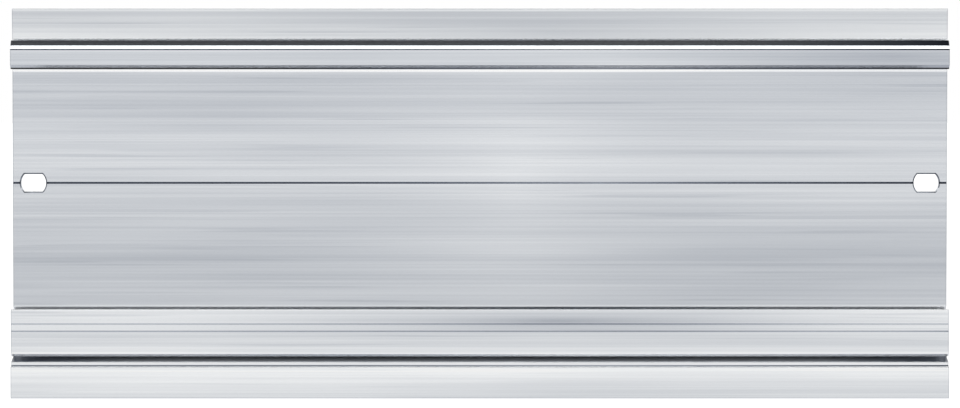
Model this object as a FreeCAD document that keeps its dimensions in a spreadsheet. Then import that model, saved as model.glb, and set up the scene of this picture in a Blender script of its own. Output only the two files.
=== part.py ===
import FreeCAD, Part
import os
import Sketcher

# Mounting rail for programmable controllers: one extruded aluminium section, cut square,
# with a double-D screw hole punched near each end.
#
# Frame: X runs along the rail, Z is up and the front faces -Y. The origin lies on the
# panel plane, at mid length on the line of the screw holes.

# Driving dimensions in millimetres: alias, value, what it measures
SIZES = [
    ("rail_length", 373.0, "length of the cut rail"),
    ("rail_height", 155.0, "overall height of the section"),
    ("hole_line", 85.5, "height of the screw holes above the bottom edge"),
    ("web_thickness", 3.0, "thickness of the web"),
    ("foot_depth", 2.4, "how far the feet stand behind the web"),
    ("foot_height", 7.0, "height of the feet at the top and bottom edges"),
    ("rib_width", 3.0, "width of the two ribs behind the hole line"),
    ("rib_offset", 10.5, "distance of each rib's middle from the hole line"),
    ("flange_height", 12.7, "height of the top flange above the hook lip"),
    ("flange_lean", 1.5, "how far the top flange leans forward at its top"),
    ("bend_drop", 4.8, "start of that lean below the tip of the lip"),
    ("lip_reach", 8.2, "hook lip in front of the web"),
    ("lip_height", 11.4, "hook lip from its underside to its tip"),
    ("lip_thickness", 3.5, "thickness of the hook lip at its channel"),
    ("shelf_thickness", 3.0, "thickness of the shelf that carries the hook lip"),
    ("tip_fall", 2.15, "height of the upper bevel of the lip"),
    ("tip_setback", 2.9, "tip of the lip behind its front face"),
    ("bevel_fall", 3.6, "height of both bevels of the lip"),
    ("bevel_setback", 1.0, "edge between the two bevels behind the front face"),
    ("lip_bevel", 1.6, "bevel below the front of the lip"),
    ("lip_corner_radius", 0.8, "round between that bevel and the underside"),
    ("din_reach", 9.0, "face of the built-in 35 mm rail in front of the web"),
    ("din_height", 35.4, "top of the built-in rail above the bottom edge"),
    ("din_flange", 4.7, "free height of its upper flange"),
    ("plate_thickness", 2.0, "thickness of its upper plate"),
    ("leg_thickness", 2.0, "thickness of the leg behind its upper plate"),
    ("recess_rise", 0.6, "top of the web's recess above the top of the upper plate"),
    ("recess_fall", 2.0, "height of the slope into that recess"),
    ("recess_depth", 0.9, "depth of that recess in the web"),
    ("plate_bevel", 1.0, "bevel at the lower edge of the upper plate"),
    ("mark_pitch", 2.87, "spacing of the two fine lines on the upper plate"),
    ("mark_drop", 5.8, "upper fine line below the top of the upper plate"),
    ("mark_width", 0.5, "width of each fine line"),
    ("mark_depth", 0.25, "depth of each fine line"),
    ("band_reach", 10.6, "face of the lower band in front of the web"),
    ("band_height", 12.8, "height of the front of the lower band"),
    ("band_thickness", 2.2, "thickness of the lower band"),
    ("band_edge_radius", 0.5, "round at the upper front edge of the lower band"),
    ("ledge_depth", 2.7, "depth of the flat ledge on top of the lower band"),
    ("step_height", 1.65, "small upright step behind the ledge"),
    ("ramp_rise", 2.1, "rise of the ramp from the step to the web"),
    ("groove_gap", 2.2, "gap between the step and the upper plate"),
    ("ramp_wall", 2.5, "thickness of the wall under the ramp"),
    ("line_width", 0.8, "width of the V-shaped centre line on the web"),
    ("line_depth", 0.4, "depth of that line"),
    ("bevel_radius", 1.0, "round between the bevels and the face of the lip"),
    ("fine_radius", 0.2, "round on the crisp edges"),
    ("edge_radius", 0.4, "round on the free edges"),
    ("root_radius", 0.8, "round in the inner corners"),
    ("hole_end_distance", 8.2, "middle of each screw hole from the end of the rail"),
    ("hole_diameter", 10.0, "screw hole across its round sides"),
    ("hole_flats", 7.0, "screw hole across its flats"),
    ("hole_bevel", 0.5, "bevel round the front of each screw hole"),
]

NODE = "mounting_rail"

doc = FreeCAD.newDocument("controller_mounting_rail")


def make_sheet():
    """Sheet with one row per driving dimension."""
    sheet = doc.addObject("Spreadsheet::Sheet", "Sizes")
    for row, (alias, value, meaning) in enumerate(SIZES, start=1):
        sheet.set("A%d" % row, meaning)
        sheet.set("B%d" % row, str(value))
        sheet.setAlias("B%d" % row, alias)
    doc.recompute()
    return sheet


sheet = make_sheet()


def size(alias):
    """Expression that reads one driving dimension."""
    return "Sizes." + alias


# Planes in front of the panel plane, as expressions
WEB_BACK = size("foot_depth")
WEB_FRONT = "(Sizes.foot_depth + Sizes.web_thickness)"
LIP_FRONT = "(%s + Sizes.lip_reach)" % WEB_FRONT
LIP_BACK = "(%s - Sizes.lip_thickness)" % LIP_FRONT
DIN_FRONT = "(%s + Sizes.din_reach)" % WEB_FRONT
DIN_BACK = "(%s - Sizes.plate_thickness)" % DIN_FRONT
BAND_FRONT = "(%s + Sizes.band_reach)" % WEB_FRONT
BAND_BACK = "(%s - Sizes.band_thickness)" % BAND_FRONT
LEDGE_BACK = "(%s - Sizes.ledge_depth)" % BAND_FRONT
RECESS_BACK = "(%s - Sizes.recess_depth)" % WEB_FRONT

# Heights above the bottom edge, as expressions
TOP = size("rail_height")
LIP_TOP = "(%s - Sizes.flange_height)" % TOP
LIP_BOTTOM = "(%s - Sizes.lip_height)" % LIP_TOP
SHELF_TOP = "(%s + Sizes.shelf_thickness)" % LIP_BOTTOM
DIN_TOP = size("din_height")
RECESS_TOP = "(%s + Sizes.recess_rise)" % DIN_TOP
LEG_TOP = "(%s - Sizes.din_flange)" % DIN_TOP
LEG_BOTTOM = "(%s - Sizes.leg_thickness)" % LEG_TOP
LEDGE = size("band_height")
STEP_TOP = "(%s + Sizes.step_height)" % LEDGE
RAMP_TOP = "(%s + Sizes.ramp_rise)" % STEP_TOP
PLATE_BOTTOM = "(%s + Sizes.groove_gap)" % STEP_TOP
WALL_FRONT = "(%s - Sizes.ramp_wall)" % LEDGE
WALL_BACK = "(%s - Sizes.ramp_wall)" % RAMP_TOP
LOW_RIB = "(Sizes.hole_line - Sizes.rib_offset)"
HIGH_RIB = "(Sizes.hole_line + Sizes.rib_offset)"


def rib(name, middle):
    """Four corners of a rib that stands behind the web, from its lower edge up."""
    low = "%s - Sizes.rib_width / 2" % middle
    high = "%s + Sizes.rib_width / 2" % middle
    return [
        (name + "_root_low", WEB_BACK, low),
        (name + "_foot_low", "0", low),
        (name + "_foot_high", "0", high),
        (name + "_root_high", WEB_BACK, high),
    ]


def notch(name, face, middle, width, depth):
    """Three corners of a V-shaped line in a front face, from its upper edge down."""
    return [
        (name + "_high", face, "%s + %s / 2" % (middle, size(width))),
        (name + "_deep", "%s - %s" % (face, size(depth)), middle),
        (name + "_low", face, "%s - %s / 2" % (middle, size(width))),
    ]


UPPER_MARK = "(%s - Sizes.mark_drop)" % DIN_TOP
LOWER_MARK = "(%s - Sizes.mark_pitch)" % UPPER_MARK

# Corners of the section: name, distance in front of the panel, height above the bottom edge
BACK = (
    [
        ("foot_bottom_back", "0", "0"),
        ("foot_bottom_top", "0", size("foot_height")),
        ("foot_bottom_root", WEB_BACK, size("foot_height")),
    ]
    + rib("low_rib", LOW_RIB)
    + rib("high_rib", HIGH_RIB)
    + [
        ("foot_top_root", WEB_BACK, "%s - Sizes.foot_height" % TOP),
        ("foot_top_low", "0", "%s - Sizes.foot_height" % TOP),
        ("foot_top_back", "0", TOP),
    ]
)
HOOK = [
    ("flange_top", "%s + Sizes.flange_lean" % WEB_FRONT, TOP),
    ("flange_bend", WEB_FRONT, "%s - Sizes.bend_drop" % LIP_TOP),
    ("channel_back", WEB_FRONT, SHELF_TOP),
    ("channel_front", LIP_BACK, SHELF_TOP),
    ("tip_back", LIP_BACK, LIP_TOP),
    ("tip_front", "%s - Sizes.tip_setback" % LIP_FRONT, LIP_TOP),
    ("bevel_edge", "%s - Sizes.bevel_setback" % LIP_FRONT, "%s - Sizes.tip_fall" % LIP_TOP),
    ("bevel_foot", LIP_FRONT, "%s - Sizes.bevel_fall" % LIP_TOP),
    ("lip_bevel_high", LIP_FRONT, "%s + Sizes.lip_bevel" % LIP_BOTTOM),
    ("lip_bevel_low", "%s - Sizes.lip_bevel" % LIP_FRONT, LIP_BOTTOM),
    ("lip_root", WEB_FRONT, LIP_BOTTOM),
]
UPPER_PLATE = (
    [
        ("recess_top", WEB_FRONT, RECESS_TOP),
        ("recess_foot", RECESS_BACK, "%s - Sizes.recess_fall" % RECESS_TOP),
        ("leg_root_top", RECESS_BACK, LEG_TOP),
        ("flange_root", DIN_BACK, LEG_TOP),
        ("din_top_back", DIN_BACK, DIN_TOP),
        ("din_top_front", DIN_FRONT, DIN_TOP),
    ]
    + notch("upper_mark", DIN_FRONT, UPPER_MARK, "mark_width", "mark_depth")
    + notch("lower_mark", DIN_FRONT, LOWER_MARK, "mark_width", "mark_depth")
    + [
        ("plate_bevel_high", DIN_FRONT, "%s + Sizes.plate_bevel" % PLATE_BOTTOM),
        ("plate_bevel_low", "%s - Sizes.plate_bevel" % DIN_FRONT, PLATE_BOTTOM),
        ("plate_back", DIN_BACK, PLATE_BOTTOM),
        ("cavity_front_top", DIN_BACK, LEG_BOTTOM),
        ("cavity_back_top", WEB_FRONT, LEG_BOTTOM),
    ]
)
LOWER_BAND = [
    ("ramp_root", WEB_FRONT, RAMP_TOP),
    ("step_edge", LEDGE_BACK, STEP_TOP),
    ("step_foot", LEDGE_BACK, LEDGE),
    ("band_corner", BAND_FRONT, LEDGE),
    ("band_bottom_front", BAND_FRONT, "0"),
    ("band_bottom_back", BAND_BACK, "0"),
    ("wall_front", BAND_BACK, WALL_FRONT),
    ("wall_root", WEB_FRONT, WALL_BACK),
    ("web_bottom", WEB_FRONT, "0"),
]
CENTRE_LINE = notch("centre_line", WEB_FRONT, size("hole_line"), "line_width", "line_depth")
SECTION = BACK + HOOK + CENTRE_LINE + UPPER_PLATE + LOWER_BAND


def number(expression):
    """Value of an expression over the driving dimensions."""
    value = sheet.evalExpression(expression)
    return float(getattr(value, "Value", value))


def origin_plane(body, role):
    """One of the body's own origin planes."""
    return next(f for f in body.Origin.OriginFeatures if f.Role == role)


def new_sketch(body, name, role):
    """Sketch attached to one of the body's origin planes."""
    sketch = body.newObject("Sketcher::SketchObject", name)
    sketch.AttachmentSupport = [(origin_plane(body, role), "")]
    sketch.MapMode = "FlatFace"
    return sketch


def bind(sketch, name, kind, first, second, expression):
    """Distance from one sketch point to another, driven by an expression."""
    value = number(expression)
    index = sketch.addConstraint(Sketcher.Constraint(kind, *first, *second, value))
    sketch.renameConstraint(index, name)
    sketch.setExpression("Constraints." + name, expression)


ORIGIN_POINT = (-1, 1)


def section_sketch(body):
    """Section of the rail: x in front of the panel, y up from the bottom edge."""
    sketch = new_sketch(body, "rail_section", "YZ_Plane")
    bottom = FreeCAD.Vector(0, -number(size("hole_line")), 0)
    turned = FreeCAD.Rotation(FreeCAD.Vector(0, 1, 0), 180)
    sketch.AttachmentOffset = FreeCAD.Placement(bottom, turned)
    sketch.setExpression("AttachmentOffset.Base.y", "-" + size("hole_line"))
    corners = [FreeCAD.Vector(number(depth), number(height), 0) for _, depth, height in SECTION]
    lines = [Part.LineSegment(a, b) for a, b in zip(corners, corners[1:] + corners[:1])]
    sketch.addGeometry(lines, False)
    count = len(lines)
    joints = [Sketcher.Constraint("Coincident", i, 2, (i + 1) % count, 1) for i in range(count)]
    sketch.addConstraint(joints)
    for i, (name, depth, height) in enumerate(SECTION):
        bind(sketch, name + "_depth", "DistanceX", ORIGIN_POINT, (i, 1), depth)
        bind(sketch, name + "_height", "DistanceY", ORIGIN_POINT, (i, 1), height)
    return sketch


TOUCH = 1e-4


def runs_through(edge, y, z):
    """True for an edge parallel to the rail that passes through (y, z)."""
    ends = [vertex.Point for vertex in edge.Vertexes]
    on_line = all(abs(end.y - y) < TOUCH and abs(end.z - z) < TOUCH for end in ends)
    return on_line and len(ends) == 2


def corner_edges(shape, names):
    """Names of the long edges of a shape that run through the given section corners."""
    places = {name: (number(depth), number(height)) for name, depth, height in SECTION}
    found = []
    for name in names:
        depth, height = places[name]
        z = height - number(size("hole_line"))
        found += [
            "Edge%d" % index
            for index, edge in enumerate(shape.Edges, start=1)
            if runs_through(edge, -depth, z)
        ]
    return found


def round_corners(body, name, base, radius, names):
    """Fillet on the long edges at the named corners."""
    edges = corner_edges(base.Shape, names)
    if len(edges) != len(names):
        raise RuntimeError("%s found %d of %d edges" % (name, len(edges), len(names)))
    fillet = body.newObject("PartDesign::Fillet", name)
    fillet.Base = (base, edges)
    fillet.Radius = number(size(radius))
    fillet.setExpression("Radius", size(radius))
    doc.recompute()
    return fillet


FREE_EDGES = [
    "foot_top_back", "tip_back", "tip_front", "din_top_back", "plate_back", "step_edge",
    "band_bottom_front", "band_bottom_back", "web_bottom",
    "foot_bottom_back", "foot_bottom_top", "foot_top_low",
    "low_rib_foot_low", "low_rib_foot_high", "high_rib_foot_low", "high_rib_foot_high",
]
INNER_CORNERS = [
    "foot_bottom_root", "foot_top_root", "channel_back", "channel_front",
    "low_rib_root_low", "low_rib_root_high", "high_rib_root_low", "high_rib_root_high",
    "leg_root_top", "flange_root", "cavity_front_top", "cavity_back_top", "ramp_root",
    "wall_front", "wall_root",
]
CRISP_EDGES = [
    "flange_top", "lip_bevel_high", "lip_root", "din_top_front", "plate_bevel_high",
    "plate_bevel_low",
]


def double_d(sketch, across, flats):
    """Two double-D outlines on the hole line: a circle cut by two flats, near each end."""
    for side, sign in (("left", -1), ("right", 1)):
        middle = "%d * (Sizes.rail_length / 2 - Sizes.hole_end_distance)" % sign
        centre = FreeCAD.Vector(number(middle), 0, 0)
        radius = number(across) / 2
        half = number(flats) / 2
        reach = (radius ** 2 - half ** 2) ** 0.5
        signs = ((1, -1), (1, 1), (-1, 1), (-1, -1))
        corner = [centre + FreeCAD.Vector(x * reach, y * half, 0) for x, y in signs]
        waist = FreeCAD.Vector(radius, 0, 0)
        first = sketch.GeometryCount
        sketch.addGeometry([
            Part.Arc(corner[0], centre + waist, corner[1]),
            Part.LineSegment(corner[1], corner[2]),
            Part.Arc(corner[2], centre - waist, corner[3]),
            Part.LineSegment(corner[3], corner[0]),
        ], False)
        right, upper, left, lower = range(first, first + 4)
        sketch.addConstraint([
            Sketcher.Constraint("Coincident", right, 2, upper, 1),
            Sketcher.Constraint("Coincident", upper, 2, left, 1),
            Sketcher.Constraint("Coincident", left, 2, lower, 1),
            Sketcher.Constraint("Coincident", lower, 2, right, 1),
            Sketcher.Constraint("Coincident", right, 3, left, 3),
            Sketcher.Constraint("Horizontal", upper),
            Sketcher.Constraint("Horizontal", lower),
            Sketcher.Constraint("PointOnObject", right, 3, -1),
            Sketcher.Constraint("Symmetric", right, 1, right, 2, -1),
            Sketcher.Constraint("Equal", right, left),
        ])
        bind(sketch, side + "_middle", "DistanceX", ORIGIN_POINT, (right, 3), middle)
        bind(sketch, side + "_flats", "DistanceY", (right, 1), (right, 2), flats)
        index = sketch.addConstraint(Sketcher.Constraint("Radius", right, radius))
        sketch.renameConstraint(index, side + "_radius")
        sketch.setExpression("Constraints.%s_radius" % side, "%s / 2" % across)


def cut(body, sketch, name):
    """Pocket made from a sketch."""
    pocket = body.newObject("PartDesign::Pocket", name)
    pocket.Profile = sketch
    return pocket


body = doc.addObject("PartDesign::Body", NODE)
body.Label = NODE

# The extrusion
section = section_sketch(body)
pad = body.newObject("PartDesign::Pad", "extrusion")
pad.Profile = section
pad.SideType = "Symmetric"
pad.Length = number(size("rail_length"))
pad.setExpression("Length", size("rail_length"))
doc.recompute()

# Rounds along its edges
lip_round = round_corners(body, "lip_round", pad, "lip_corner_radius", ["lip_bevel_low"])
band_round = round_corners(body, "band_round", lip_round, "band_edge_radius", ["band_corner"])
bevel_round = round_corners(body, "bevel_round", band_round, "bevel_radius", ["bevel_foot"])
root_round = round_corners(body, "root_round", bevel_round, "root_radius", INNER_CORNERS)
edge_round = round_corners(body, "edge_round", root_round, "edge_radius", FREE_EDGES)
crisp_round = round_corners(body, "crisp_round", edge_round, "fine_radius", CRISP_EDGES)
solid_volume = crisp_round.Shape.Volume

# Screw holes right through the web
holes = new_sketch(body, "screw_holes", "XZ_Plane")
double_d(holes, size("hole_diameter"), size("hole_flats"))
hole_cut = cut(body, holes, "screw_hole_cut")
hole_cut.Type = "ThroughAll"
hole_cut.SideType = "Symmetric"
doc.recompute()
drilled_volume = hole_cut.Shape.Volume

# Bevelled rims on the front of the web
RIM_DIAMETER = "(Sizes.hole_diameter + 2 * Sizes.hole_bevel)"
RIM_FLATS = "(Sizes.hole_flats + 2 * Sizes.hole_bevel)"
BEVEL_ANGLE = 45
rims = new_sketch(body, "hole_rims", "XZ_Plane")
web_plane = FreeCAD.Vector(0, 0, number(WEB_FRONT))
rims.AttachmentOffset = FreeCAD.Placement(web_plane, FreeCAD.Rotation())
rims.setExpression("AttachmentOffset.Base.z", WEB_FRONT)
double_d(rims, RIM_DIAMETER, RIM_FLATS)
rim_cut = cut(body, rims, "hole_rim_cut")
rim_cut.Type = "Length"
rim_cut.Length = number(size("hole_bevel"))
rim_cut.setExpression("Length", size("hole_bevel"))
rim_cut.TaperAngle = -BEVEL_ANGLE
doc.recompute()
rimmed_volume = rim_cut.Shape.Volume


def check_model():
    """Every object is sound, and the cuts took material away."""
    for item in doc.Objects:
        bad = [state for state in item.State if state in ("Invalid", "Error")]
        if bad:
            raise RuntimeError("%s is %s" % (item.Name, ", ".join(bad)))
    shape = body.Shape
    if shape.isNull() or not shape.isValid() or len(shape.Solids) != 1:
        raise RuntimeError("the rail is not one valid solid")
    if not solid_volume > drilled_volume > rimmed_volume:
        raise RuntimeError("a screw hole or its rim cut nothing")


check_model()
os.makedirs("parts", exist_ok=True)
body.Shape.exportStep("parts/%s.step" % NODE)
box = body.Shape.BoundBox
print("section area mm2:", round(pad.Shape.Volume / number(size("rail_length")), 1))
print("volumes:", solid_volume, drilled_volume, rimmed_volume)
print("box mm:", [round(v, 3) for v in (box.XMin, box.YMin, box.ZMin, box.XMax, box.YMax, box.ZMax)])
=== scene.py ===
# %% [markdown]
# A mounting rail for programmable controllers, dressed for a picture
#
# The object is a single aluminium extrusion, 373 mm long and 155 mm high. A controller
# hooks over the lip near the top and clamps on the small rail near the bottom, and two
# screws hold the extrusion to a panel. The CAD model arrives as a fixed frame: it says
# where everything is, in metres, with X along the rail, Z up and the front facing -Y.

# %% Load the frame
import math

import bpy
import numpy as np
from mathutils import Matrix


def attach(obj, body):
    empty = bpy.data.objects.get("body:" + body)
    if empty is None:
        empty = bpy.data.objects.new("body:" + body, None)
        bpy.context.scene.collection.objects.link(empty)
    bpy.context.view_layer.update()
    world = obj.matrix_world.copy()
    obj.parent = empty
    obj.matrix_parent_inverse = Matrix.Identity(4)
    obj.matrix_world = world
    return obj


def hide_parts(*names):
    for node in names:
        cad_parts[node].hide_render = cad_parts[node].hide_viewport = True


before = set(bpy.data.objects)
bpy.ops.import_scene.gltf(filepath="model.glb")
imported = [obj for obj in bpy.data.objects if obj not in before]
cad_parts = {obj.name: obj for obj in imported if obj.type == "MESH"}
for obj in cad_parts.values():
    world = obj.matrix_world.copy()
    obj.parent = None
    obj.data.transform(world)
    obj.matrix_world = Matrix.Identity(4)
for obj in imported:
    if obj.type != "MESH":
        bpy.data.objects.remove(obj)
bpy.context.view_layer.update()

# %% [markdown]
# The sizes
#
# The CAD node has the right shape, but its triangles leave the small rounds flat-sided and
# give a finish no direction to follow. The rail is therefore rebuilt here from the same
# named sizes, in millimetres, with finer rounds and with the broken edges that a saw and a
# deburring tool leave on the cut ends.

# %% Sizes in millimetres
MM = 0.001
RAIL_LENGTH, RAIL_HEIGHT, HOLE_LINE = 373.0, 155.0, 85.5
WEB_THICKNESS = 3.0
FOOT_DEPTH, FOOT_HEIGHT = 2.4, 7.0
RIB_WIDTH, RIB_OFFSET = 3.0, 10.5
FLANGE_HEIGHT, FLANGE_LEAN, BEND_DROP = 12.7, 1.5, 4.8
LIP_REACH, LIP_HEIGHT, LIP_THICKNESS, SHELF_THICKNESS = 8.2, 11.4, 3.5, 3.0
TIP_FALL, TIP_SETBACK, BEVEL_FALL, BEVEL_SETBACK = 2.15, 2.9, 3.6, 1.0
DIN_REACH, DIN_HEIGHT, DIN_FLANGE = 9.0, 35.4, 4.7
PLATE_THICKNESS, LEG_THICKNESS = 2.0, 2.0
RECESS_RISE, RECESS_FALL, RECESS_DEPTH = 0.6, 2.0, 0.9
MARK_PITCH, MARK_DROP, MARK_WIDTH, MARK_DEPTH = 2.87, 5.8, 0.5, 0.25
BAND_REACH, BAND_HEIGHT, BAND_THICKNESS = 10.6, 12.8, 2.2
LEDGE_DEPTH, STEP_HEIGHT, RAMP_RISE = 2.7, 1.65, 2.1
GROOVE_GAP, RAMP_WALL = 2.2, 2.5
LINE_WIDTH, LINE_DEPTH = 0.8, 0.4
LIP_BEVEL, PLATE_BEVEL, LIP_ROUND, BAND_ROUND, BEVEL_ROUND = 1.6, 1.0, 0.8, 0.5, 1.0
EDGE, ROOT, FINE, SHARP = 0.4, 0.8, 0.2, 0.0
HOLE_END_DISTANCE, HOLE_DIAMETER, HOLE_FLATS, HOLE_BEVEL = 8.2, 10.0, 7.0, 0.5
DEBURR = 0.10

WEB = FOOT_DEPTH + WEB_THICKNESS
print("web front stands", WEB, "mm in front of the panel")

# %% [markdown]
# The section
#
# An extrusion is one closed outline carried along a line, so the outline is where all the
# care goes. Each corner is written as its distance in front of the panel, its height above
# the bottom edge, and the radius that the die gives it. The list runs up the back, over the
# top and down the front: the flange, the hooked lip, the web with its fine centre line, the
# upper plate of the small rail with two fine lines, and the lower band.

# %% Corners of the section
TOP = RAIL_HEIGHT
LIP_TOP = TOP - FLANGE_HEIGHT
LIP_BOTTOM = LIP_TOP - LIP_HEIGHT
SHELF_TOP = LIP_BOTTOM + SHELF_THICKNESS
LIP_FRONT, DIN_FRONT, BAND_FRONT = WEB + LIP_REACH, WEB + DIN_REACH, WEB + BAND_REACH
LIP_BACK, DIN_BACK = LIP_FRONT - LIP_THICKNESS, DIN_FRONT - PLATE_THICKNESS
BAND_BACK, LEDGE_BACK = BAND_FRONT - BAND_THICKNESS, BAND_FRONT - LEDGE_DEPTH
RECESS_TOP, RECESS_BACK = DIN_HEIGHT + RECESS_RISE, WEB - RECESS_DEPTH
LEG_TOP = DIN_HEIGHT - DIN_FLANGE
LEG_BOTTOM = LEG_TOP - LEG_THICKNESS
STEP_TOP = BAND_HEIGHT + STEP_HEIGHT
RAMP_TOP, PLATE_BOTTOM = STEP_TOP + RAMP_RISE, STEP_TOP + GROOVE_GAP
WALL_FRONT, WALL_BACK = BAND_HEIGHT - RAMP_WALL, RAMP_TOP - RAMP_WALL
UPPER_MARK = DIN_HEIGHT - MARK_DROP
LOWER_MARK = UPPER_MARK - MARK_PITCH


def rib(middle):
    """Four corners of a rib behind the web."""
    low, high = middle - RIB_WIDTH / 2, middle + RIB_WIDTH / 2
    return [(FOOT_DEPTH, low, ROOT), (0, low, EDGE), (0, high, EDGE), (FOOT_DEPTH, high, ROOT)]


def notch(face, middle, width, depth):
    """Three corners of a V-shaped line in a front face."""
    half = width / 2
    high, low = middle + half, middle - half
    return [(face, high, SHARP), (face - depth, middle, SHARP), (face, low, SHARP)]


BACK = (
    [(0, 0, EDGE), (0, FOOT_HEIGHT, EDGE), (FOOT_DEPTH, FOOT_HEIGHT, ROOT)]
    + rib(HOLE_LINE - RIB_OFFSET)
    + rib(HOLE_LINE + RIB_OFFSET)
    + [(FOOT_DEPTH, TOP - FOOT_HEIGHT, ROOT), (0, TOP - FOOT_HEIGHT, EDGE), (0, TOP, EDGE)]
)
HOOK = [
    (WEB + FLANGE_LEAN, TOP, FINE), (WEB, LIP_TOP - BEND_DROP, SHARP),
    (WEB, SHELF_TOP, ROOT), (LIP_BACK, SHELF_TOP, ROOT),
    (LIP_BACK, LIP_TOP, EDGE), (LIP_FRONT - TIP_SETBACK, LIP_TOP, EDGE),
    (LIP_FRONT - BEVEL_SETBACK, LIP_TOP - TIP_FALL, SHARP),
    (LIP_FRONT, LIP_TOP - BEVEL_FALL, BEVEL_ROUND),
    (LIP_FRONT, LIP_BOTTOM + LIP_BEVEL, FINE),
    (LIP_FRONT - LIP_BEVEL, LIP_BOTTOM, LIP_ROUND), (WEB, LIP_BOTTOM, FINE),
]
UPPER_PLATE = (
    [
        (WEB, RECESS_TOP, SHARP), (RECESS_BACK, RECESS_TOP - RECESS_FALL, SHARP),
        (RECESS_BACK, LEG_TOP, ROOT), (DIN_BACK, LEG_TOP, ROOT),
        (DIN_BACK, DIN_HEIGHT, EDGE), (DIN_FRONT, DIN_HEIGHT, FINE),
    ]
    + notch(DIN_FRONT, UPPER_MARK, MARK_WIDTH, MARK_DEPTH)
    + notch(DIN_FRONT, LOWER_MARK, MARK_WIDTH, MARK_DEPTH)
    + [
        (DIN_FRONT, PLATE_BOTTOM + PLATE_BEVEL, FINE),
        (DIN_FRONT - PLATE_BEVEL, PLATE_BOTTOM, FINE), (DIN_BACK, PLATE_BOTTOM, EDGE),
        (DIN_BACK, LEG_BOTTOM, ROOT), (WEB, LEG_BOTTOM, ROOT),
    ]
)
LOWER_BAND = [
    (WEB, RAMP_TOP, ROOT), (LEDGE_BACK, STEP_TOP, EDGE), (LEDGE_BACK, BAND_HEIGHT, SHARP),
    (BAND_FRONT, BAND_HEIGHT, BAND_ROUND), (BAND_FRONT, 0, EDGE), (BAND_BACK, 0, EDGE),
    (BAND_BACK, WALL_FRONT, ROOT), (WEB, WALL_BACK, ROOT), (WEB, 0, EDGE),
]
CENTRE_LINE = notch(WEB, HOLE_LINE, LINE_WIDTH, LINE_DEPTH)
SECTION = np.array(BACK + HOOK + CENTRE_LINE + UPPER_PLATE + LOWER_BAND, dtype=float)
print("section has", len(SECTION), "corners")

# %% [markdown]
# Rounding the corners
#
# A bevel modifier would round every edge alike. The die does not, so each corner is swapped
# for its own arc, worked out for all corners at once. The arc touches both sides of the
# corner, its centre lies on the line that halves the corner, and it turns through half a
# circle less the corner's own angle.

# %% Round every corner
ARC_STEPS = 20


def unit(vectors):
    """Rows scaled to length one."""
    return vectors / np.linalg.norm(vectors, axis=1, keepdims=True)


def rounded(corners, radii, steps):
    """Outline with arcs at its corners.

    With a and b the directions to the two neighbours and h half the angle between them,
    the arc's centre is the corner plus radius / sin(h) along a + b. Its points are the
    centre plus the radius at angles that run evenly from the first touching point by
    180 degrees - 2h. A sharp corner keeps one point.
    """
    a = unit(np.roll(corners, 1, axis=0) - corners)
    b = unit(np.roll(corners, -1, axis=0) - corners)
    half = np.arccos(np.clip((a * b).sum(axis=1), -1, 1)) / 2
    centre = corners + unit(a + b) * (radii / np.sin(half))[:, None]
    start = corners + a * (radii / np.tan(half))[:, None] - centre
    turn = np.sign(b[:, 0] * a[:, 1] - b[:, 1] * a[:, 0])
    first = np.arctan2(start[:, 1], start[:, 0])
    share = np.linspace(0, 1, steps + 1)
    angle = first[:, None] - (turn * (2 * half - np.pi))[:, None] * share
    ring = np.stack([np.cos(angle), np.sin(angle)], axis=2) * radii[:, None, None]
    points = centre[:, None, :] + ring
    kept = (radii > 0)[:, None] | (share == 0)[None, :]
    return points[kept]


corners = np.stack([-SECTION[:, 0], SECTION[:, 1] - HOLE_LINE], axis=1)
outline = rounded(corners, SECTION[:, 2], ARC_STEPS)
print("outline has", len(outline), "points")

# %% [markdown]
# The rail itself
#
# The outline is carried along X. The rail needs only a few stations, because nothing changes
# along it, but the last tenth of a millimetre at each end is drawn in along the outline's
# mitred normals. That is the broken edge of the cut, and it catches a thin line of light or
# shade along the whole end.

# %% Carry the outline along the rail
DEBURR_STEPS = 1
STATION_COUNT = 15


def mitred_normals(points):
    """Outward normal at each point of a closed outline that runs counter-clockwise.

    With m and n the outward normals of the two sides that meet, it is (m + n) / (1 + m.n),
    so that a step along it moves both sides by the same distance.
    """
    side = unit(np.roll(points, -1, axis=0) - points)
    after = np.stack([side[:, 1], -side[:, 0]], axis=1)
    before = np.roll(after, 1, axis=0)
    return (before + after) / (1 + (before * after).sum(axis=1))[:, None]


def rail_grid(points):
    """Stations along X by points of the outline.

    At a station x from the middle the outline is drawn in by d, where d is zero on the bar
    and follows a quarter circle of the deburred edge's radius over the last stretch.
    """
    quarter = np.linspace(0, np.pi / 2, DEBURR_STEPS + 1)
    end = RAIL_LENGTH / 2
    edge_x = end - DEBURR + DEBURR * np.sin(quarter)
    edge_in = DEBURR * (1 - np.cos(quarter))
    bar = np.linspace(-end + DEBURR, end - DEBURR, STATION_COUNT)[1:-1]
    x = np.concatenate([-edge_x[::-1], bar, edge_x])
    drawn_in = np.concatenate([edge_in[::-1], np.zeros(len(bar)), edge_in])
    yz = points[None] - mitred_normals(points)[None] * drawn_in[:, None, None]
    xs = np.broadcast_to(x[:, None, None], yz.shape[:2] + (1,))
    return np.concatenate([xs, yz], axis=2)


def tube_faces(rows, columns):
    """Quads of a grid that closes on itself along its columns."""
    i, j = np.meshgrid(np.arange(rows - 1), np.arange(columns), indexing="ij")
    k = (j + 1) % columns
    quads = [i * columns + j, i * columns + k, (i + 1) * columns + k, (i + 1) * columns + j]
    return np.stack(quads, axis=2).reshape(-1, 4)


def closed_tube(name, grid):
    """Mesh of a grid of rings with a face over each end."""
    rows, columns = grid.shape[:2]
    quads = tube_faces(rows, columns).tolist()
    first = np.arange(columns)[::-1].tolist()
    last = (np.arange(columns) + (rows - 1) * columns).tolist()
    mesh = bpy.data.meshes.new(name)
    mesh.from_pydata((grid.reshape(-1, 3) * MM).tolist(), [], quads + [first, last])
    mesh.update()
    return mesh


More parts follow.
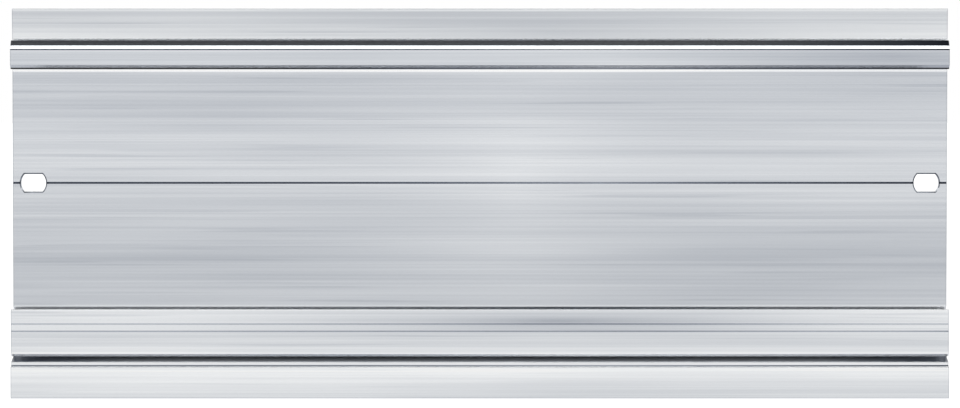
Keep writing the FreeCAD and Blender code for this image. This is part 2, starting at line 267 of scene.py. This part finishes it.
def shown(name, mesh):
    """Object of a mesh, linked to the scene."""
    piece = bpy.data.objects.new(name, mesh)
    bpy.context.scene.collection.objects.link(piece)
    return piece


blank = shown("rail_blank", closed_tube("rail_blank", rail_grid(outline)))
print("blank has", len(blank.data.polygons), "faces")

# %% [markdown]
# The screw holes
#
# Near each end a double-D hole is punched on the centre line: a circle cut by two flats. A
# Boolean keeps the web flat round it, which a subdivided patch would not. The cutter is the
# same outline at four depths, and its front flares, so one cut makes both the hole and its
# small bevelled rim.

# %% Punch the holes
HOLE_STEPS = 28
CUT_SPARE = 2.0
CUT_DEPTHS = np.array([CUT_SPARE, HOLE_BEVEL - WEB, -WEB, -WEB - CUT_SPARE])
CUT_FLARE = np.array([0.0, 0.0, HOLE_BEVEL, HOLE_BEVEL + CUT_SPARE])


def double_d(radius, half):
    """Circle cut by two flats: both arcs between the flats, joined by straight lines.

    The arcs run over angles within asin(half / radius) of the two ends of the long axis.
    """
    reach = np.arcsin(half / radius)
    arc = np.linspace(-reach, reach, HOLE_STEPS)
    angle = np.concatenate([arc, arc + np.pi])
    return np.stack([radius * np.cos(angle), radius * np.sin(angle)], axis=1)


def hole_cutter(name, x):
    """Rings of the double-D outline at each depth, from the back to the front."""
    rings = [double_d(HOLE_DIAMETER / 2 + flare, HOLE_FLATS / 2 + flare) for flare in CUT_FLARE]
    rings = np.array(rings)
    depth = np.broadcast_to(CUT_DEPTHS[:, None], rings.shape[:2])
    grid = np.stack([rings[..., 0] + x, depth, rings[..., 1]], axis=2)
    return shown(name, closed_tube(name, grid))


def finished_mesh(piece, name):
    """Mesh of an object with its modifiers applied."""
    bpy.context.view_layer.update()
    graph = bpy.context.evaluated_depsgraph_get()
    mesh = bpy.data.meshes.new_from_object(piece.evaluated_get(graph))
    mesh.name = name
    return mesh


hole_x = RAIL_LENGTH / 2 - HOLE_END_DISTANCE
cutters = [hole_cutter("hole_cutter_left", -hole_x), hole_cutter("hole_cutter_right", hole_x)]
for cutter in cutters:
    punch = blank.modifiers.new(cutter.name, "BOOLEAN")
    punch.operation, punch.solver, punch.object = "DIFFERENCE", "EXACT", cutter
rail = shown("rail_extrusion", finished_mesh(blank, "rail_extrusion"))
for used in [blank] + cutters:
    bpy.data.objects.remove(used)
print("rail has", len(rail.data.vertices), "points and", len(rail.data.polygons), "faces")

# %% [markdown]
# A direction for the finish
#
# Extruded metal is brushed lengthwise by its die. The UV map carries that direction: u is the
# distance along the rail on every long face, whichever way the face looks, and on the sawn
# ends u runs up the section, the way a saw blade marks it.

# %% UV map
END_FACING = 0.9


def loop_values(mesh):
    """Position and face normal for every face corner, as arrays."""
    count = len(mesh.loops)
    places = np.empty(len(mesh.vertices) * 3)
    mesh.vertices.foreach_get("co", places)
    index = np.empty(count, dtype=int)
    mesh.loops.foreach_get("vertex_index", index)
    normals = np.empty(len(mesh.polygons) * 3)
    mesh.polygons.foreach_get("normal", normals)
    totals = np.empty(len(mesh.polygons), dtype=int)
    mesh.polygons.foreach_get("loop_total", totals)
    return places.reshape(-1, 3)[index], np.repeat(normals.reshape(-1, 3), totals, axis=0)


def brushed_uv(mesh):
    """On a long face u = x and v = y + z, and on a cut end u = z and v = y."""
    place, normal = loop_values(mesh)
    x, y, z = place.T
    on_end = np.abs(normal[:, 0]) > END_FACING
    u, v = np.where(on_end, z, x), np.where(on_end, y, y + z)
    layer = mesh.uv_layers.new(name="brushed")
    layer.data.foreach_set("uv", np.stack([u, v], axis=1).ravel())


brushed_uv(rail.data)
print("UV map:", rail.data.uv_layers.active.name)

# %% [markdown]
# Shading
#
# The flats must reflect as flats and the rounds as rounds. Smooth shading with sharp edges
# above a small angle does the first half, and weighted normals stop a round from bending the
# light on the wide flat beside it.

# %% Smooth rounds and flat flats
SHARP_ANGLE = math.radians(5.2)
rail.data.shade_smooth()
rail.data.set_sharp_from_angle(angle=SHARP_ANGLE)
weighted = rail.modifiers.new("flat_faces_stay_flat", "WEIGHTED_NORMAL")
weighted.keep_sharp = True
weighted.weight = 100
print("sharp edges:", sum(edge.use_edge_sharp for edge in rail.data.edges))

# %% [markdown]
# The metal
#
# Mill-finish aluminium is a grey mirror that a die has scratched lengthwise. Its whole look
# is one number, the level, which the next cells build up: lines, scratches and cloudy
# streaks, painted light and shade over the height, broad painted reflections, and painted
# shade in corners and fine lines. All of them read Object coordinates, so they stay put on
# the rail.

# %% Helpers for the node tree
NOISE_ROUGHNESS = 0.6

metal = bpy.data.materials.new("brushed_aluminium")
metal.use_nodes = True
tree = metal.node_tree
tree.nodes.clear()


def node(kind, **settings):
    """New node with its settings; a key that names an input sets that input."""
    made = tree.nodes.new(kind)
    for key, value in settings.items():
        if key in made.inputs:
            made.inputs[key].default_value = value
        else:
            setattr(made, key, value)
    return made


def link(output, socket):
    """Joins an output to an input."""
    tree.links.new(output, socket)


def arithmetic(operation, first, second=0.0, third=0.0):
    """Math node on sockets or numbers."""
    made = node("ShaderNodeMath", operation=operation)
    for socket, value in zip(made.inputs, (first, second, third)):
        if isinstance(value, (int, float)):
            socket.default_value = value
        else:
            link(value, socket)
    return made.outputs["Value"]


def times(first, second):
    """Product of two sockets or numbers."""
    return arithmetic("MULTIPLY", first, second)


def between(share, zero, one):
    """Straight mix: `zero` where the share is zero and `one` where it is one."""
    if isinstance(zero, float) and isinstance(one, float):
        change = one - zero
    else:
        change = arithmetic("SUBTRACT", one, zero)
    return arithmetic("MULTIPLY_ADD", share, change, zero)


def eased(value, low, high, at_low=0.0, at_high=1.0):
    """S-shaped step: at_low for values up to low, at_high for values from high on."""
    made = node("ShaderNodeMapRange", interpolation_type="SMOOTHSTEP")
    numbers = {"From Min": low, "From Max": high, "To Min": at_low, "To Max": at_high}
    for key, number in numbers.items():
        made.inputs[key].default_value = number
    link(value, made.inputs["Value"])
    return made.outputs["Result"]


place = node("ShaderNodeTexCoord").outputs["Object"]
axes = node("ShaderNodeSeparateXYZ")
link(place, axes.inputs["Vector"])


def stretched_noise(scale, detail, shift=(0.0, 0.0, 0.0)):
    """Noise whose grains are 1 / scale metres along each axis; gives a value near 0.5."""
    mapping = node("ShaderNodeMapping")
    mapping.inputs["Scale"].default_value = scale
    mapping.inputs["Location"].default_value = shift
    noise = node("ShaderNodeTexNoise", Scale=1.0, Detail=detail, Roughness=NOISE_ROUGHNESS)
    link(place, mapping.inputs["Vector"])
    link(mapping.outputs["Vector"], noise.inputs["Vector"])
    return noise.outputs["Fac"]


# %% [markdown]
# Lines, scratches and cloudy streaks
#
# Three noises are stretched along the rail. The lines are about a millimetre high and a third
# of a metre long. The scratches are finer and shorter, and only the peaks of their noise
# count. The clouds are about a centimetre high. Lines and clouds move the level to both
# sides, and scratches only darken it.

# %% Three noises
LINE_GRAIN = (3.0, 1000.0, 1000.0)
SCRATCH_GRAIN, SCRATCH_SHIFT = (8.0, 620.0, 620.0), (3.0, 5.0, 7.0)
SCRATCH_FROM, SCRATCH_FULL = 0.60, 0.76
CLOUD_GRAIN, CLOUD_SHIFT = (4.0, 75.0, 75.0), (1.3, 0.0, 2.1)
LINE_STRENGTH, SCRATCH_STRENGTH, CLOUD_STRENGTH = 0.36, 0.12, 0.42


def swing(level, value, strength):
    """Level plus strength times how far a noise value lies from its middle."""
    return arithmetic("MULTIPLY_ADD", value, strength, arithmetic("ADD", level, -strength / 2))


lines = stretched_noise(LINE_GRAIN, 2.0)
clouds = stretched_noise(CLOUD_GRAIN, 2.0, CLOUD_SHIFT)
scratch_noise = stretched_noise(SCRATCH_GRAIN, 1.0, SCRATCH_SHIFT)
scratches = eased(scratch_noise, SCRATCH_FROM, SCRATCH_FULL)
level = arithmetic("MULTIPLY_ADD", scratches, -SCRATCH_STRENGTH, 1.0)
level = swing(level, lines, LINE_STRENGTH)
level = swing(level, clouds, CLOUD_STRENGTH)
print("lines are", round(LINE_GRAIN[1] / LINE_GRAIN[0]), "times as long as high")

# %% [markdown]
# Painted light and shade over the height
#
# Each zone of the section gets a tone of its own that changes slowly inside the zone. These
# tones are painted light and shade that stand for the room's reflections, and the brightest
# upper edges of the zones are painted highlights. A curve of straight pieces carries the tone
# from the bottom edge to the top.

# %% Tone curve of painted light and shade
# Height above the bottom edge in mm, and the tone there, which is painted light and shade
BAND_TONE = [(0, 0.80), (5, 0.83), (9, 0.94), (12.5, 0.99)]
GROOVE_TONE = [(14.5, 0.88), (16.6, 1.0), (18.1, 1.0)]
# The bright top edge of the plate is a painted highlight
PLATE_TONE = [
    (18.5, 0.85), (22, 0.80), (25, 0.82), (29, 0.86), (34.5, 0.90), (34.75, 1.0), (35.4, 1.0),
]
WEB_TONE = [
    (37, 0.70), (45, 0.64), (55, 0.60), (65, 0.64), (75, 0.69), (85, 0.72), (100, 0.72),
    (120, 0.65), (129.6, 0.62),
]
# The white line just under the lip is a painted highlight
LIP_TONE = [(129.9, 1.0), (130.9, 1.0), (131.1, 0.66), (134, 0.66), (138, 0.70), (141.5, 1.0)]
FLANGE_TONE = [(143, 0.95), (146, 0.87), (150, 0.80), (153.8, 0.79), (154.4, 0.95), (155, 1.0)]
PAINTED_LIGHT_OVER_HEIGHT = BAND_TONE + GROOVE_TONE + PLATE_TONE + WEB_TONE + LIP_TONE + FLANGE_TONE

per_metre = 1 / (RAIL_HEIGHT * MM)
share_up = arithmetic("MULTIPLY_ADD", axes.outputs["Z"], per_metre, HOLE_LINE / RAIL_HEIGHT)
tone = node("ShaderNodeFloatCurve")
curve = tone.mapping.curves[0]
for height, share in PAINTED_LIGHT_OVER_HEIGHT[1:-1]:
    curve.points.new(height / RAIL_HEIGHT, share)
curve.points[0].location = (0.0, PAINTED_LIGHT_OVER_HEIGHT[0][1])
curve.points[-1].location = (1.0, PAINTED_LIGHT_OVER_HEIGHT[-1][1])
for point in curve.points:
    point.handle_type = "VECTOR"
tone.mapping.update()
link(share_up, tone.inputs["Value"])
print("tone curve has", len(curve.points), "points")

# %% [markdown]
# Broad painted reflections
#
# The room's reflections leave broad patches on the front that have no edge, and these are
# painted here. Each is an ellipse that fades from its middle outward, and it darkens or
# lightens the tone there. The back never sees that room, so it keeps one plain tone.

# %% Painted reflections on the front
# Place along the rail and height above the bottom edge in mm, half length, half height, and
# how much of the tone is left in the middle of the mark
PAINTED_REFLECTIONS = [
    (32, 145, 190, 16, 0.72),
    (165, 136, 120, 11, 0.74),
    (48, 136, 60, 8, 1.07),
    (15, 85, 80, 110, 1.14),
    (30, 30.8, 180, 10.5, 0.51),
    (110, 145, 90, 5, 0.93),
    (58, 131.5, 75, 3, 1.35),
    (-150, 24, 90, 5, 0.94),
    (-95, 62, 70, 14, 0.93),
    (90, 58, 80, 9, 0.93),
    (-60, 100, 90, 7, 0.94),
    (120, 108, 90, 9, 0.95),
]
BACK_DEPTH, BACK_TONE = WEB - WEB_THICKNESS + 0.2, 0.72


def soft_spot(x, height, half_length, half_height):
    """Zero outside an ellipse and one in its middle, with (1 - distance) squared between."""
    mapping = node("ShaderNodeMapping", vector_type="TEXTURE")
    mapping.inputs["Location"].default_value = (x * MM, 0.0, (height - HOLE_LINE) * MM)
    mapping.inputs["Scale"].default_value = (half_length * MM, 1.0, half_height * MM)
    fall = node("ShaderNodeTexGradient", gradient_type="QUADRATIC_SPHERE")
    link(place, mapping.inputs["Vector"])
    link(mapping.outputs["Vector"], fall.inputs["Vector"])
    return fall.outputs["Fac"]


front_painted_light = tone.outputs["Value"]
for *spot, left in PAINTED_REFLECTIONS:
    front_painted_light = times(front_painted_light, between(soft_spot(*spot), 1.0, left))
in_front = arithmetic("LESS_THAN", axes.outputs["Y"], -BACK_DEPTH * MM)
level = times(level, between(in_front, BACK_TONE, front_painted_light))
print(len(PAINTED_REFLECTIONS), "soft marks, all in front of", round(BACK_DEPTH, 2), "mm")

# %% [markdown]
# Painted shade in folds, fine lines and on the lip
#
# A fine line and a fold look dark because little light gets into them, and the upper bevel
# of the lip because it reflects a dark part of the room, so the shade there is painted. Each
# is a narrow box along the rail in which part of the level is left. How much is left changes
# along the rail: more where the room was brightest, a little right of the middle, and less
# towards the right end.

# %% Boxes of painted shade
# Depth in front of the panel and height above the bottom edge in mm, half depth, half height,
# and how much of the level is left over most of the rail, in the bright stretch and at the end
SPARE = 0.02
MARK_BOX = (MARK_DEPTH / 2 + SPARE, MARK_WIDTH / 2)
PAINTED_SHADE = {
    "upper bevel of the lip": (LIP_FRONT - 2.0, LIP_TOP - 1.05, 1.2, 1.15, 0.58, 0.70, 0.02),
    "fold under that bevel": (
        LIP_FRONT - 0.1, LIP_TOP - BEVEL_FALL, 0.3, 0.30, 0.38, 0.90, 0.0,
    ),
    "centre line": (
        WEB - LINE_DEPTH / 2, HOLE_LINE, LINE_DEPTH / 2 + SPARE, LINE_WIDTH / 2,
        0.34, 0.76, 0.24,
    ),
    "upper fine line": (DIN_FRONT - MARK_DEPTH / 2, UPPER_MARK, *MARK_BOX, 0.88, 0.90, 0.85),
    "lower fine line": (DIN_FRONT - MARK_DEPTH / 2, LOWER_MARK, *MARK_BOX, 0.80, 0.84, 0.74),
    "foot of the lip": (LIP_FRONT - 2.6, LIP_BOTTOM, 1.9, 0.55, 0.0, 0.50, 0.0),
    "ledge over the band": (LEDGE_BACK + 1.2, BAND_HEIGHT, 1.0, 0.10, 0.55, 0.95, 0.45),
    "foot of the step": (LEDGE_BACK, BAND_HEIGHT + 0.1, 0.15, 0.30, 0.25, 0.42, 0.09),
}
BRIGHT_X, BRIGHT_REACH = 48, 150
END_X, END_REACH = 195, 130
ALL_HEIGHTS = 1e6


def box_around(depth, height, half_depth, half_height):
    """One inside a box that runs along the rail, zero outside it."""
    middle = (height - HOLE_LINE) * MM
    in_depth = arithmetic("COMPARE", axes.outputs["Y"], -depth * MM, half_depth * MM)
    in_height = arithmetic("COMPARE", axes.outputs["Z"], middle, half_height * MM)
    return times(in_depth, in_height)


near_bright = soft_spot(BRIGHT_X, HOLE_LINE, BRIGHT_REACH, ALL_HEIGHTS)
near_end = soft_spot(END_X, HOLE_LINE, END_REACH, ALL_HEIGHTS)
for *box, left, left_bright, left_end in PAINTED_SHADE.values():
    left_here = between(near_bright, left, left_bright)
    left_here = arithmetic("MULTIPLY_ADD", near_end, left_end - left, left_here)
    level = times(level, between(box_around(*box), 1.0, left_here))
print("shaded:", ", ".join(PAINTED_SHADE))

# %% [markdown]
# Shade on the rims, the cut ends and in the groove
#
# The bevelled rims of the holes are dark above and light below. A cut end has a thin darker
# outline. The groove is matt, because the die doesn't polish its walls, and it is darkest
# towards its two open ends, where light from the sides would otherwise wash it out.

# %% Rims, ends and groove
RIM_LEFT_BELOW, RIM_LEFT_ABOVE = 0.95, 0.32
RIM_REACH, RIM_SPARE = 0.6, 0.01
END_OUTLINE, END_LEFT = 0.35, 0.90
GROOVE_METAL, GROOVE_LEFT, GROOVE_SPARE = 0.10, 0.55, 0.05
GROOVE_END_FROM, GROOVE_END_LEFT = 130, 0.13
METALLIC = 0.95

from_middle = arithmetic("ABSOLUTE", axes.outputs["X"])
near_hole = arithmetic("COMPARE", from_middle, hole_x * MM, HOLE_DIAMETER * RIM_REACH * MM)
rim_depth = WEB - HOLE_BEVEL / 2 - RIM_SPARE
rim = times(box_around(rim_depth, HOLE_LINE, HOLE_BEVEL / 2, HOLE_FLATS * RIM_REACH), near_hole)
half_flats = HOLE_FLATS / 2 * MM
rim_left = eased(axes.outputs["Z"], -half_flats, half_flats, RIM_LEFT_BELOW, RIM_LEFT_ABOVE)
level = times(level, between(rim, 1.0, rim_left))

half_length = RAIL_LENGTH * MM / 2
at_end = arithmetic("COMPARE", from_middle, half_length, END_OUTLINE * MM)
level = times(level, between(at_end, 1.0, END_LEFT))

groove = box_around(
    (WEB + LEDGE_BACK) / 2, (STEP_TOP + RAMP_TOP) / 2,
    (LEDGE_BACK - WEB) / 2 + GROOVE_SPARE, RAMP_RISE / 2 + GROOVE_SPARE,
)
groove_left = eased(from_middle, GROOVE_END_FROM * MM, half_length, GROOVE_LEFT, GROOVE_END_LEFT)
level = times(level, between(groove, 1.0, groove_left))
metallic = times(between(groove, 1.0, GROOVE_METAL), METALLIC)
print("groove shaded from", round(WEB, 1), "to", round(LEDGE_BACK, 1), "mm in front of the panel")

# %% [markdown]
# Colour and gloss
#
# The darker the metal, the bluer it looks, so each colour channel is the level raised to its
# own power. The lines that change the level also change the roughness and give a very faint
# relief, and the gloss is pulled out along the brushing.

# %% Colour, roughness and relief
RED_POWER, BLUE_POWER = 1.06, 0.885
RED_SHARE, BLUE_SHARE = 0.985, 1.01
ROUGH_LOW, ROUGH_HIGH = 0.12, 0.20
RELIEF_STRENGTH, RELIEF_DEPTH = 0.03, 0.0002
GRAIN_PULL = 0.35

toned = node("ShaderNodeCombineColor")
link(times(arithmetic("POWER", level, RED_POWER), RED_SHARE), toned.inputs["Red"])
link(level, toned.inputs["Green"])
link(times(arithmetic("POWER", level, BLUE_POWER), BLUE_SHARE), toned.inputs["Blue"])
relief = node("ShaderNodeBump", Strength=RELIEF_STRENGTH, Distance=RELIEF_DEPTH)
link(lines, relief.inputs["Height"])
grain = node("ShaderNodeTangent", direction_type="UV_MAP", uv_map="brushed")
shader = node("ShaderNodeBsdfPrincipled", Anisotropic=GRAIN_PULL)
link(toned.outputs["Color"], shader.inputs["Base Color"])
link(metallic, shader.inputs["Metallic"])
link(between(lines, ROUGH_LOW, ROUGH_HIGH), shader.inputs["Roughness"])
link(relief.outputs["Normal"], shader.inputs["Normal"])
link(grain.outputs["Tangent"], shader.inputs["Tangent"])
output = node("ShaderNodeOutputMaterial")
link(shader.outputs["BSDF"], output.inputs["Surface"])
rail.data.materials.clear()
rail.data.materials.append(metal)
print("metal has", len(tree.nodes), "nodes")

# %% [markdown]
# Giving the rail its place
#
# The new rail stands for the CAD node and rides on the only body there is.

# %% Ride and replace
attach(rail, "root")
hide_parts("mounting_rail")
print("rail stands for mounting_rail")

# %% [markdown]
# The studio
#
# The photograph is a cut-out on white. White all round also lights metal best, because metal
# shows only what it reflects. What makes the shape readable are the few things that are not
# white: a dark card high in front and one overhead, a smoky card low in front, a grey card
# underneath, and a dim card beyond each end of the rail. One lamp above the front edge gives
# the bevel of the lip its white line. The cards are seen only in reflections.

# %% World
world = bpy.data.worlds.new("white_room")
world.use_nodes = True
bpy.context.scene.world = world
background = world.node_tree.nodes["Background"]
background.inputs["Color"].default_value = (1, 1, 1, 1)
background.inputs["Strength"].default_value = 1.0
print("world:", world.name)

# %% Cards
FLOOR_Z = -0.45
CARD_Z = FLOOR_Z + 0.01
CARD_HALF_LENGTH = 1.2
DIM = (0.30, 0.31, 0.33)
DARK, GREY, SMOKE = (0.02, 0.02, 0.022), (0.62, 0.63, 0.66), (0.45, 0.46, 0.48)
# Each card runs along the rail between two lines given by their (y, z) in metres
CARDS = [
    ("dark_card_in_front", (-0.72, 0.24), (-0.42, 0.683), DARK),
    ("dark_card_overhead", (-0.175, 0.78), (0.55, 0.70), DARK),
    ("smoke_card_low_in_front", (-1.55, CARD_Z), (-0.60, CARD_Z), SMOKE),
    ("grey_card_underneath", (-0.60, CARD_Z), (0.12, CARD_Z), GREY),
]
SIDE_CARDS = [("dim_card_left", -1.3), ("dim_card_right", 1.3)]
SIDE_FRONT, SIDE_BACK, SIDE_TOP = -1.0, 0.4, 0.7


def plain_card(name, corners, colour, seen_by_camera=False):
    """Flat rectangle of one matt colour that belongs to the studio."""
    mesh = bpy.data.meshes.new(name)
    mesh.from_pydata(corners, [], [(0, 1, 2, 3)])
    card = shown(name, mesh)
    paint = bpy.data.materials.new(name)
    paint.use_nodes = True
    matt = paint.node_tree.nodes["Principled BSDF"]
    matt.inputs["Base Color"].default_value = colour + (1.0,)
    matt.inputs["Roughness"].default_value = 1.0
    matt.inputs["Specular IOR Level"].default_value = 0.0
    mesh.materials.append(paint)
    card.visible_camera = seen_by_camera
    card.visible_diffuse = card.visible_shadow = seen_by_camera
    return card


for name, (y0, z0), (y1, z1), colour in CARDS:
    left, right = -CARD_HALF_LENGTH, CARD_HALF_LENGTH
    plain_card(name, [(left, y0, z0), (right, y0, z0), (right, y1, z1), (left, y1, z1)], colour)
for name, x in SIDE_CARDS:
    low = [(x, SIDE_FRONT, CARD_Z), (x, SIDE_BACK, CARD_Z)]
    plain_card(name, low + [(x, SIDE_BACK, SIDE_TOP), (x, SIDE_FRONT, SIDE_TOP)], DIM)
print(len(CARDS) + len(SIDE_CARDS), "cards")

# %% Floor
# The camera sees it a little lighter than it is lit, so that it meets the white world
FLOOR_SIZE, FLOOR_GREY, FLOOR_LIFT = 80.0, 0.85, 0.30

half = FLOOR_SIZE / 2
floor = plain_card(
    "floor",
    [(-half, -half, FLOOR_Z), (half, -half, FLOOR_Z), (half, half, FLOOR_Z), (-half, half, FLOOR_Z)],
    (FLOOR_GREY, FLOOR_GREY, FLOOR_GREY),
    seen_by_camera=True,
)
paint = floor.active_material.node_tree
matt = paint.nodes["Principled BSDF"]
matt.inputs["Emission Color"].default_value = (1, 1, 1, 1)
ray = paint.nodes.new("ShaderNodeLightPath")
lift = paint.nodes.new("ShaderNodeMath")
lift.operation = "MULTIPLY"
lift.inputs[1].default_value = FLOOR_LIFT
paint.links.new(ray.outputs["Is Camera Ray"], lift.inputs[0])
paint.links.new(lift.outputs["Value"], matt.inputs["Emission Strength"])
print("floor at", FLOOR_Z, "m")

# %% Lamp
LAMP_PLACE, LAMP_TURN = (0.0, -0.317, 0.74), (24, 0, 0)
LAMP_LENGTH, LAMP_WIDTH, LAMP_POWER = 2.4, 0.16, 3.2

strip = bpy.data.lights.new("strip_above_front", "AREA")
strip.shape, strip.size, strip.size_y = "RECTANGLE", LAMP_LENGTH, LAMP_WIDTH
strip.energy = LAMP_POWER
lamp = bpy.data.objects.new("strip_above_front", strip)
bpy.context.scene.collection.objects.link(lamp)
lamp.location = LAMP_PLACE
lamp.rotation_euler = [math.radians(angle) for angle in LAMP_TURN]
lamp.visible_camera = False
print("lamp of", LAMP_POWER, "W over", LAMP_LENGTH, "m")

# %% [markdown]
# The camera
#
# The rail was photographed from straight ahead, a little above its middle, with a long lens.
# The camera's place was worked out from where the rail's known edges fall in the photograph.

# %% Camera
CAMERA_PLACE = (0.00005, -1.5821, 0.0425)
CAMERA_DIP = 1.851
LENS, SENSOR_WIDTH = 148.09, 36.0

camera_data = bpy.data.cameras.new("camera")
camera_data.sensor_width = SENSOR_WIDTH
camera_data.lens = LENS
camera = bpy.data.objects.new("camera", camera_data)
bpy.context.scene.collection.objects.link(camera)
camera.location = CAMERA_PLACE
camera.rotation_euler = (math.radians(90 - CAMERA_DIP), 0, 0)
bpy.context.scene.camera = camera
bpy.context.scene.view_settings.view_transform = "Standard"
print("camera", round(-CAMERA_PLACE[1], 2), "m in front of the panel")
